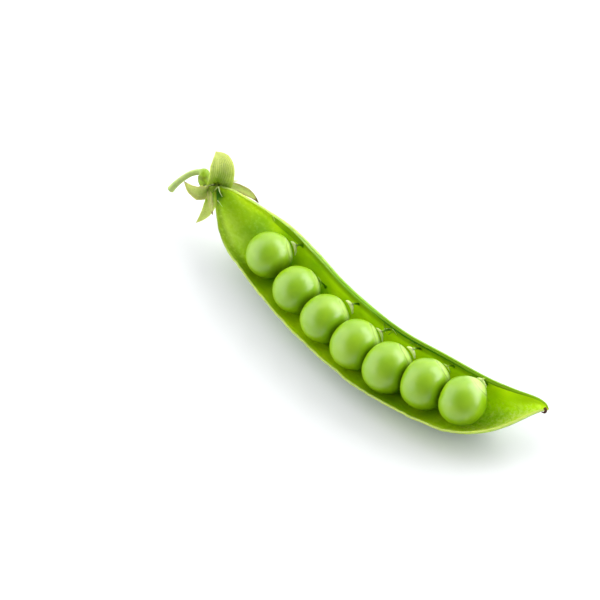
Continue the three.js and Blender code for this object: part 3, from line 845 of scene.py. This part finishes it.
def style_skin():
    """The withered style: a thin crooked tube that tapers from the beak."""
    t = np.linspace(0, 1, STYLE_GRID[0])
    radius = STYLE_RADIUS * (1 - 0.7 * t**2) * (1 + 0.2 * ripple(t * 10, 3, 5))
    points = tube_on(path_through(STYLE_PATH, t), UPWARD, radius, radius, STYLE_GRID[1])
    return Skin(points, {"along": t[:, None]})


# ---- shader maths


class Wire:
    """An output of a node, which can be used in sums as a number is."""

    def __init__(self, bench, socket):
        self.bench = bench
        self.socket = socket

    def maths(self, operation, *values):
        return self.bench.node("ShaderNodeMath", {"operation": operation}, dict(enumerate(values)))

    def __add__(self, other):
        return self.maths("ADD", self, other)

    def __sub__(self, other):
        return self.maths("SUBTRACT", self, other)

    def __rsub__(self, other):
        return self.maths("SUBTRACT", other, self)

    def __mul__(self, other):
        return self.maths("MULTIPLY", self, other)

    __radd__ = __add__
    __rmul__ = __mul__

    def sine(self):
        return self.maths("SINE", self)

    def rise(self, start, end):
        """0 where this is at start and 1 where it is at end, smoothly between."""
        settings = {"interpolation_type": "SMOOTHSTEP"}
        sockets = {"Value": self, "From Min": start, "From Max": end, "To Min": 0.0, "To Max": 1.0}
        return self.bench.node("ShaderNodeMapRange", settings, sockets)


def times(factor, colour):
    """A colour made that many times as bright, with no amount over 1."""
    return tuple(min(factor * value, 1) for value in colour)


class Bench:
    """The node tree of one material, or of the surroundings."""

    def __init__(self, owner):
        self.owner = owner
        owner.use_nodes = True
        self.tree = owner.node_tree
        self.tree.nodes.clear()

    def node(self, kind, settings=None, sockets=None, out=0):
        """Adds a node, sets its settings, fills its sockets with numbers or wires, and gives an output."""
        node = self.tree.nodes.new(kind)
        for key, value in (settings or {}).items():
            setattr(node, key, value)
        for key, value in (sockets or {}).items():
            if isinstance(value, Wire):
                self.tree.links.new(value.socket, node.inputs[key])
            else:
                node.inputs[key].default_value = value
        return Wire(self, node.outputs[out]) if len(node.outputs) else None

    def tag(self, name):
        """A number that the piece carries at each point."""
        return self.node("ShaderNodeAttribute", {"attribute_name": name}, out="Fac")

    def place(self):
        """Where each point of the piece is in the pod's frame."""
        return self.node("ShaderNodeAttribute", {"attribute_name": "pod"}, out="Vector")

    def stretch(self, vector, x, y=1.0, z=1.0):
        return self.node("ShaderNodeVectorMath", {"operation": "MULTIPLY"}, {0: vector, 1: (x, y, z)})

    def noise(self, vector, pitch, detail=3.0, rough=0.55):
        """Uneven patches about as far apart as pitch, in millimetres, from 0 to 1."""
        sockets = {"Vector": vector, "Scale": 1 / pitch, "Detail": detail, "Roughness": rough}
        return self.node("ShaderNodeTexNoise", {}, sockets, out="Fac")

    def cells(self, vector, pitch, feature):
        """Cells about as far apart as pitch: the distance to their middles, or to their edges."""
        sockets = {"Vector": vector, "Scale": 1 / pitch}
        return self.node("ShaderNodeTexVoronoi", {"feature": feature}, sockets, out="Distance")

    def mix(self, amount, first, second):
        """A colour between two others, which are wires or amounts of light."""
        first, second = (colour if isinstance(colour, Wire) else (*colour, 1.0) for colour in (first, second))
        settings = {"data_type": "RGBA", "clamp_factor": True}
        return self.node("ShaderNodeMix", settings, {0: amount, 6: first, 7: second}, out=2)

    def coats(self, colour, *layers):
        """A colour with others laid over it in turn, each given as (amount, colour)."""
        for amount, over in layers:
            colour = self.mix(amount, colour, over)
        return colour

    def bump(self, height, strength, reach):
        """Relief: height times reach, in millimetres."""
        sockets = {"Height": height, "Strength": strength, "Distance": reach * MM}
        return self.node("ShaderNodeBump", {}, sockets)

    def shader(self, colour, rough, normal, shine, flesh=None):
        """A shader: colour, roughness and normal may vary, and the shine is one number. Flesh is how much of
        the light goes in, how far each colour goes, and the scale of that in millimetres."""
        sockets = {"Base Color": colour, "Roughness": rough, "Specular IOR Level": shine}
        if normal:
            sockets["Normal"] = normal
        if flesh:
            sockets["Subsurface Weight"], sockets["Subsurface Radius"], scale = flesh
            sockets["Subsurface Scale"] = scale * MM
        return self.node("ShaderNodeBsdfPrincipled", {}, sockets)

    def finish(self, shader):
        """The material, with a shader as its surface."""
        self.node("ShaderNodeOutputMaterial", {}, {"Surface": shader})
        return self.owner


def pod_material(colours):
    """The pod's skin: a smooth bright lining, a deeper green outside with pale flecks, and pale seams."""
    bench = Bench(bpy.data.materials.new("pod_skin"))
    pod = bench.place()
    across, inner, bead, edge, turn, strip = (bench.tag(name) for name in SHELL_TAGS)
    x = bench.node("ShaderNodeSeparateXYZ", {}, {0: pod}, out=0)
    fresh, deep, pale, dark_green_and_shadow = colours.inside, colours.inside_deep, colours.inside_pale, colours.dark_green_and_shadow

    # Lining: broad patches of two greens; painted shade on the upper wall towards the stem, along the seed
    # seam under the bead, by the back seam and on the far wall at the tip; painted light on the upper wall
    # towards the tip, on the lower wall and on the floor towards the tip; a deeper green raised strip with
    # painted shadow along its edge; a darker stem end with pale patches, and dry pale speckles at the tip
    # end. Each mask is a place along the pod, across it, or both.
    broad = bench.noise(pod, 7.0, 2.0)
    blotch = bench.noise(bench.stretch(pod, 0.6), 1.6, 4.0, 0.62)
    fine = bench.noise(pod, 0.8, 4.0, 0.7)
    grain = bench.noise(bench.stretch(pod, 0.35), 0.42, 3.0, 0.6)
    upper_wall = across.rise(0.1, 0.6)
    lower_wall_light = across.rise(-0.3, -0.6) * x.rise(-22, -14) * x.rise(8, 2)
    seam_shadow = across.rise(0.84, 0.93) * x.rise(30, 26)
    back_seam_shade = across.rise(-0.55, -0.88) * (0.3 + 0.55 * x.rise(-24, -30)) * x.rise(30, 20)
    neck = x.rise(-42.6, -44.2) * across.rise(0.6, -0.1)
    stem_end = x.rise(-33, -36) * x.rise(-43, -39) * across.rise(0.3, -0.3) * across.rise(-1, -0.6)
    open_end = x.rise(-27, -33)
    far_wall_shade = x.rise(32, 37) * across.rise(0.1, 0.8)
    tip_floor = x.rise(20, 28) * across.rise(0.85, 0.4)
    tip_end = x.rise(27, 31) * x.rise(40, 37.5) * across.rise(0.45, 0.0)
    pale_stem_patches = stem_end * (0.35 + 0.65 * blotch.rise(0.3, 0.75)) * 0.5
    dry_tip_end = tip_end * (0.3 + 0.7 * fine.rise(0.47, 0.55)) * 0.95
    mottled = tip_floor + open_end * 0.35
    strip_edge_shadow = strip.rise(0, 0.3) * strip.rise(0.95, 0.5) * x.rise(-33, -28)
    lining_colour = bench.coats(
        fresh,
        (broad.rise(0.35, 0.7), deep),
        # Painted shade on the upper wall towards the stem, and painted light on it towards the tip.
        (upper_wall * x.rise(-8, -22) * 0.1, times(0.8, deep)),
        (upper_wall * x.rise(-20, -4) * 0.7, times(1.15, fresh)),
        # Painted light on the lower wall, in the shade of the peas.
        (lower_wall_light * 0.9, times(1.4, fresh)),
        # Painted shadow along the seed seam, under the bead.
        (seam_shadow * 0.75, times(0.55, deep)),
        (open_end * 0.25, times(0.74, deep)),
        # Painted shade by the back seam.
        (back_seam_shade, times(0.42, deep)),
        # Painted shade on the far wall at the tip.
        (far_wall_shade * 0.6, times(0.62, deep)),
        # Painted light on the floor towards the tip.
        (tip_floor * 0.68, times(1.35, fresh)),
        # Pale patches at the stem end, and dry pale speckles at the tip end.
        (pale_stem_patches + dry_tip_end, pale),
        (tip_end * fine.rise(0.54, 0.62) * 0.6, colours.cap),
        (tip_floor * blotch.rise(0.5, 0.62) * 0.35, pale),
        (mottled * fine.rise(0.5, 0.62) * 0.5, pale),
        (mottled * fine.rise(0.48, 0.36) * 0.25, times(0.6, deep)),
        (grain.rise(0.52, 0.8) * 0.22, pale),
        (grain.rise(0.48, 0.25) * 0.25, deep),
        (strip * 0.5, times(0.7, deep)),
        # Painted shadow along the edge and the blunt end of the raised strip.
        (strip_edge_shadow * 0.7, dark_green_and_shadow),
        (neck * 0.95, dark_green_and_shadow),
    )

    # Outer skin: deeper green, with the faintest net of veins, pale streaks and small flecks. Along the back
    # seam it turns yellower towards the tip.
    patches = bench.noise(bench.stretch(pod, 0.4), 5.0)
    warped = {0: bench.stretch(pod, 0.45), 1: blotch}
    warped = bench.node("ShaderNodeVectorMath", {"operation": "ADD"}, warped)
    veins = bench.cells(warped, 1.5, "DISTANCE_TO_EDGE")
    streaks = bench.noise(bench.stretch(pod, 1.0, 0.2, 0.2), 0.7, 3.0, 0.65)
    flecks = bench.noise(pod, 0.45, 3.0, 0.7)
    outer_colour = bench.coats(
        colours.outside_deep,
        (patches.rise(0.3, 0.75), colours.outside),
        (veins.rise(0.05, 0.0) * 0.1, colours.outside_pale),
        (streaks.rise(0.5, 0.75) * 0.4, colours.outside_pale),
        (flecks.rise(0.6, 0.72) * 0.5, colours.outside_pale),
        (across.rise(-0.8, -0.98) * x.rise(4, 18) * 0.7, fresh),
    )

    # The bead: pale, and paler near the stem, where its own pale flesh carries a painted highlight, with a
    # green line in its groove. In the pod's tip half its inner side is as green as the lining, and a painted
    # shadow in deep green runs under it.
    streak = bench.noise(bench.stretch(pod, 0.15), 0.5, 3.0, 0.6)
    tip_half = x.rise(-2, 6)
    seam_line = turn.rise(0.41, 0.47) * turn.rise(0.56, 0.51) * x.rise(-30, -20)
    bead_colour = bench.coats(
        colours.bead,
        # Paler near the stem: the bead's own pale flesh, with a painted highlight.
        (x.rise(-8, -26) * x.rise(-45.5, -43) * 0.5, colours.cap),
        (streak.rise(0.4, 0.7) * 0.4, colours.outside),
        (seam_line * 0.6, colours.outside),
        (tip_half * turn.rise(0.22, 0.34), times(0.62, deep)),
    )
    # Painted shadow in deep green under the bead's inner side, strongest in the tip half.
    shadow_under_bead = bead * turn.rise(0.55, 0.72) * (0.15 + 0.85 * tip_half * x.rise(40, 8))
    groove = shadow_under_bead * x.rise(30, 26) * x.rise(-30, -24)
    tear = bench.noise(pod, 0.35, 3.0, 0.6)
    # The back edge is darkened towards the stem end: painted shade.
    edge_colour = bench.mix(x.rise(-30, -38) * 0.9, colours.edge, times(0.3, fresh))
    colour = bench.coats(
        outer_colour,
        (inner, lining_colour),
        (bead * turn.rise(1.0, 0.9), bead_colour),
        # Painted shadow under the bead.
        (groove, dark_green_and_shadow),
        (edge * (0.5 + 0.5 * tear), edge_colour),
    )

    height = grain * 0.6 + blotch * 0.6 * inner + (streaks + veins.rise(0.0, 0.2) * 0.25) * (1 - inner)
    normal = bench.bump(height, 0.35, 0.12)
    rough = 0.36 + 0.16 * blotch + 0.1 * edge
    flesh = (0.7, (1.0, 1.0, 0.1), 2.2)
    waxy = bench.shader(colour, rough - 0.08, normal, 0.22, flesh)
    damp = bench.shader(colour, rough, normal, 0.12, flesh)
    return bench.finish(bench.node("ShaderNodeMixShader", {}, {0: inner, 1: waxy, 2: damp}))


def pea_material(colours):
    """A pea's skin: waxy yellow-green, a little paler in broad patches and round its cap, where a fine broken
    ring runs, and darkened by painted shade where the tag says so, with shallow dimples."""
    bench = Bench(bpy.data.materials.new("pea_skin"))
    pod = bench.place()
    near_cap = bench.tag("near_cap")
    broad = bench.noise(pod, 4.5, 2.0)
    speckle = bench.noise(pod, 0.32, 2.0, 0.5)
    uneven = near_cap + 0.5 * (broad - 0.5)
    ring = uneven.rise(0.17, 0.22) * uneven.rise(0.31, 0.26) * broad.rise(0.35, 0.6)
    colour = bench.coats(
        colours.pea,
        (broad.rise(0.35, 0.75) * 0.4, colours.pea_pale),
        (speckle.rise(0.5, 0.8) * 0.12, colours.pea_pale),
        (near_cap * 0.3, colours.pea_pale),
        (near_cap.rise(0.02, 0.26) * 0.42, colours.cap),
        # Painted shade towards the wall and the neighbouring peas.
        (bench.tag("deep") * 0.7, times(0.35, colours.pea)),
        (ring * 0.55, times(0.45, colours.pea)),
    )
    dimples = bench.cells(pod, 0.9, "SMOOTH_F1")
    normal = bench.bump(dimples + 0.3 * bench.noise(pod, 0.3, 2.0) - ring, 0.15, 0.06)
    return bench.finish(bench.shader(colour, 0.3 + 0.06 * broad, normal, 0.8, (0.4, (1.0, 1.0, 0.15), 2.0)))


def calyx_material(colours):
    """The calyx: green at the root and paler to the tips, with fine veins along the lobes, painted shade in
    their folds, a darker green at the cup's mouth and withered edges."""
    bench = Bench(bpy.data.materials.new("calyx_leaf"))
    pod = bench.place()
    along, across, wilt, fold = (bench.tag(name) for name in ("along", "across", "wilt", "fold"))
    patch = bench.noise(pod, 1.6)
    mottle = bench.noise(pod, 0.35, 3.0, 0.65)
    lines = (across * 38 + patch * 5).sine()
    withered = wilt * (0.5 + mottle)
    colour = bench.coats(
        colours.leaf,
        (((along + patch * 0.5) * 0.9).rise(0.2, 0.8), colours.leaf_pale),
        (lines.rise(0.3, 0.95) * 0.5, times(0.8, colours.leaf)),
        (mottle.rise(0.52, 0.72) * 0.5, colours.leaf),
        (mottle.rise(0.42, 0.3) * 0.4, colours.straw),
        # Painted shade in the lobes' folds, and a darker green at the cup's mouth.
        (fold * 0.75, times(0.55, colours.leaf)),
        (withered.rise(0.0, 0.4) * 0.8, colours.straw),
        (withered.rise(0.25, 0.75) * 0.9, colours.brown),
    )
    normal = bench.bump(lines * 0.5 + mottle * 0.7, 0.45, 0.08)
    return bench.finish(bench.shader(colour, 0.52 + 0.12 * mottle, normal, 0.22, (0.5, (0.9, 1.0, 0.2), 1.0)))


def stalk_material(colours):
    """The flower stalk: pale green skin, greener and flecked brown where it meets the calyx, with a brown cut
    and a fine grain."""
    bench = Bench(bpy.data.materials.new("stalk_skin"))
    pod = bench.place()
    along = bench.tag("along")
    patch = bench.noise(pod, 1.2)
    colour = bench.coats(
        colours.stalk,
        (patch.rise(0.3, 0.75) * 0.6, colours.leaf_pale),
        (along.rise(0.46, 0.3) * 0.9, times(1.25, colours.leaf)),
        (along.rise(0.4, 0.2) * patch.rise(0.45, 0.65) * 0.4, colours.brown),
        (along.rise(0.985, 1.0) * 0.6, colours.brown),
    )
    fibre = bench.noise(pod, 0.3, 3.0, 0.6)
    normal = bench.bump(fibre, 0.3, 0.06)
    return bench.finish(bench.shader(colour, 0.42 + 0.1 * fibre, normal, 0.3, (0.3, (0.6, 1.0, 0.2), 0.8)))


def seed_stalk_material(colours):
    """A seed stalk or a torn thread: deep green where it is fresh, and nearly white where it has dried."""
    bench = Bench(bpy.data.materials.new("seed_stalk_flesh"))
    patch = bench.noise(bench.place(), 0.6)
    colour = bench.coats(
        colours.inside_deep,
        (bench.tag("fresh") * 0.6, colours.dark_green_and_shadow),
        (bench.tag("white") * (0.75 + 0.5 * patch), colours.cap),
    )
    normal = bench.bump(patch, 0.3, 0.06)
    return bench.finish(bench.shader(colour, 0.38 + 0.1 * patch, normal, 0.15, (0.6, (0.8, 1.0, 0.5), 0.8)))


def style_material(colours):
    """The style: dry and dark, with a paler root."""
    bench = Bench(bpy.data.materials.new("style_withered"))
    patch = bench.noise(bench.place(), 0.25)
    colour = bench.mix((bench.tag("along") + 0.3 * patch).rise(0.5, 0.1), colours.style, colours.brown)
    return bench.finish(bench.shader(colour, 0.6 + 0.2 * patch, bench.bump(patch, 0.6, 0.1), 0.35))


def floor_material(look):
    """A pale sheet with the faintest unevenness."""
    bench = Bench(bpy.data.materials.new("floor_sheet"))
    patch = bench.noise(bench.node("ShaderNodeTexCoord", out="Object"), 40.0, 2.0)
    colour = bench.mix(patch, look.floor, times(0.985, look.floor))
    return bench.finish(bench.shader(colour, 0.6 + 0.02 * patch, None, 0.2))


def surroundings(look, lens_way):
    """White surroundings, darker behind the camera, and plain white where the camera sees them."""
    bench = Bench(bpy.data.worlds.new("surroundings"))
    ways = {0: bench.node("ShaderNodeTexCoord", out="Generated"), 1: tuple(lens_way)}
    facing = bench.node("ShaderNodeVectorMath", {"operation": "DOT_PRODUCT"}, ways, out="Value")
    strength = look.sky * (1 - (1 - look.lens_side) * facing.rise(0.45, 0.85))
    lit = bench.node("ShaderNodeBackground", {}, {"Color": (0.97, 0.985, 1.0, 1.0), "Strength": strength})
    white = bench.node("ShaderNodeBackground", {}, {"Color": (1.0, 1.0, 1.0, 1.0)})
    seen = bench.node("ShaderNodeLightPath", out="Is Camera Ray")
    both = bench.node("ShaderNodeMixShader", {}, {0: seen, 1: lit, 2: white})
    bench.node("ShaderNodeOutputWorld", {}, {"Surface": both})
    return bench.owner


# ---- operators


def set_down(place, *axes):
    """The matrix that puts something at a place, with its own X, Y and Z along three directions."""
    return Matrix.Translation(place.tolist()) @ Matrix(np.stack(axes, axis=1).tolist()).to_4x4()


class PEAPOD_OT_valve(bpy.types.Operator):
    """Makes the pod's half, with its seams"""

    bl_idname = "pea_pod.valve"
    bl_label = "Pod half"

    def execute(self, context):
        scene = context.scene
        material = pod_material(scene.pod_colours)
        make_piece("pod_half", [valve_skin(scene.pod_shape)], material, ["pod_valve"])
        return {"FINISHED"}


class PEAPOD_OT_peas(bpy.types.Operator):
    """Makes the row of peas"""

    bl_idname = "pea_pod.peas"
    bl_label = "Peas"

    def execute(self, context):
        scene = context.scene
        material = pea_material(scene.pod_colours)
        for index in range(len(PEAS)):
            number, skin = index + 1, pea_skin(index, scene.pea_shape)
            make_piece(f"pea_skin_{number}", [skin], material, [f"pea_{number}"])
        return {"FINISHED"}


class PEAPOD_OT_seed_stalks(bpy.types.Operator):
    """Makes the seed stalk of each pea, and the torn threads of the lining"""

    bl_idname = "pea_pod.seed_stalks"
    bl_label = "Seed stalks"

    def execute(self, context):
        scene = context.scene
        material = seed_stalk_material(scene.pod_colours)
        for index in range(len(PEAS)):
            number = index + 1
            skins = seed_stalk_skins(index, scene.pea_shape, scene.pod_shape)
            make_piece(f"funicle_{number}", skins, material, [f"seed_stalk_{number}"])
        threads = [thread_skin(*thread, scene.pod_shape) for thread in THREADS]
        make_piece("torn_threads", threads, material, [])
        return {"FINISHED"}


class PEAPOD_OT_calyx(bpy.types.Operator):
    """Makes the cup of the calyx, its five lobes and a thin spike of it"""

    bl_idname = "pea_pod.calyx"
    bl_label = "Calyx"

    def execute(self, context):
        scene = context.scene
        skins = [cup_skin()] + [lobe_skin(name, scene.calyx_shape) for name in LOBES]
        make_piece("calyx_leaves", skins, calyx_material(scene.pod_colours), ["calyx"])
        return {"FINISHED"}


class PEAPOD_OT_stalk(bpy.types.Operator):
    """Makes the hooked flower stalk"""

    bl_idname = "pea_pod.stalk"
    bl_label = "Flower stalk"

    def execute(self, context):
        scene = context.scene
        material = stalk_material(scene.pod_colours)
        make_piece("flower_stalk", [stalk_skin(scene.calyx_shape)], material, ["stalk"])
        return {"FINISHED"}


class PEAPOD_OT_style(bpy.types.Operator):
    """Makes the withered style at the tip"""

    bl_idname = "pea_pod.style"
    bl_label = "Style"

    def execute(self, context):
        make_piece("style_remnant", [style_skin()], style_material(context.scene.pod_colours), [])
        return {"FINISHED"}


class PEAPOD_OT_stage(bpy.types.Operator):
    """Makes the camera, the pale floor and the soft lights"""

    bl_idname = "pea_pod.stage"
    bl_label = "Stage"

    def execute(self, context):
        scene = context.scene
        look = scene.stage_look
        right = LAYING @ unit(np.array(CAMERA_RIGHT))
        back = LAYING @ unit(np.array(CAMERA_BACK))
        up = unit(np.cross(back, right))
        right = np.cross(up, back)

        lens = bpy.data.cameras.new("camera")
        lens.lens = CAMERA_LENS
        lens.clip_start = 0.01
        camera = bpy.data.objects.new("camera", lens)
        camera.matrix_world = set_down(laid(CAMERA_PLACE), right, up, back)
        scene.collection.objects.link(camera)
        scene.camera = camera

        for name, (way, distance, wide, tall) in LAMPS.items():
            data = bpy.data.lights.new(name, "AREA")
            data.shape = "RECTANGLE"
            data.size, data.size_y = wide, tall
            data.energy = getattr(look, name)
            lamp = bpy.data.objects.new(name, data)
            away = unit(right * way[0] + up * way[1] + back * way[2])
            side = unit(np.cross(up, away))
            lamp.matrix_world = set_down(laid(POD_MIDDLE) + distance * away, side, np.cross(away, side), away)
            lamp.visible_camera = False
            scene.collection.objects.link(lamp)

        corners = [(x * FLOOR_HALF, y * FLOOR_HALF, 0) for x, y in ((-1, -1), (1, -1), (1, 1), (-1, 1))]
        mesh = bpy.data.meshes.new("floor")
        mesh.from_pydata(corners, [], [(0, 1, 2, 3)])
        mesh.materials.append(floor_material(look))
        floor = bpy.data.objects.new("floor", mesh)
        scene.collection.objects.link(floor)

        scene.world = surroundings(look, back)
        scene.view_settings.view_transform = "Standard"
        scene.view_settings.look = "None"
        return {"FINISHED"}


class PEAPOD_PT_sidebar(bpy.types.Panel):
    """Lists the pieces of the pea pod"""

    bl_idname = "PEAPOD_PT_sidebar"
    bl_label = "Pea Pod"
    bl_space_type = "VIEW_3D"
    bl_region_type = "UI"
    bl_category = "Pea Pod"

    def draw(self, context):
        for operator in OPERATORS:
            self.layout.operator(operator.bl_idname)
        for group in GROUPS:
            box = self.layout.box()
            for prop in getattr(context.scene, group).bl_rna.properties:
                if not prop.is_readonly and prop.identifier != "name":
                    box.prop(getattr(context.scene, group), prop.identifier)


OPERATORS = (
    PEAPOD_OT_stage,
    PEAPOD_OT_valve,
    PEAPOD_OT_peas,
    PEAPOD_OT_seed_stalks,
    PEAPOD_OT_calyx,
    PEAPOD_OT_stalk,
    PEAPOD_OT_style,
)
GROUPS = {
    "pod_shape": PodShape,
    "pea_shape": PeaShape,
    "calyx_shape": CalyxShape,
    "pod_colours": PodColours,
    "stage_look": StageLook,
}


def register():
    for item in (*GROUPS.values(), *OPERATORS, PEAPOD_PT_sidebar):
        bpy.utils.register_class(item)
    for name, group in GROUPS.items():
        setattr(bpy.types.Scene, name, PointerProperty(type=group))


def unregister():
    for name in GROUPS:
        delattr(bpy.types.Scene, name)
    for item in reversed((*GROUPS.values(), *OPERATORS, PEAPOD_PT_sidebar)):
        bpy.utils.unregister_class(item)


def main():
    register()
    for operator in OPERATORS:
        category, name = operator.bl_idname.split(".")
        getattr(getattr(bpy.ops, category), name)()


if __name__ == "__main__":
    main()
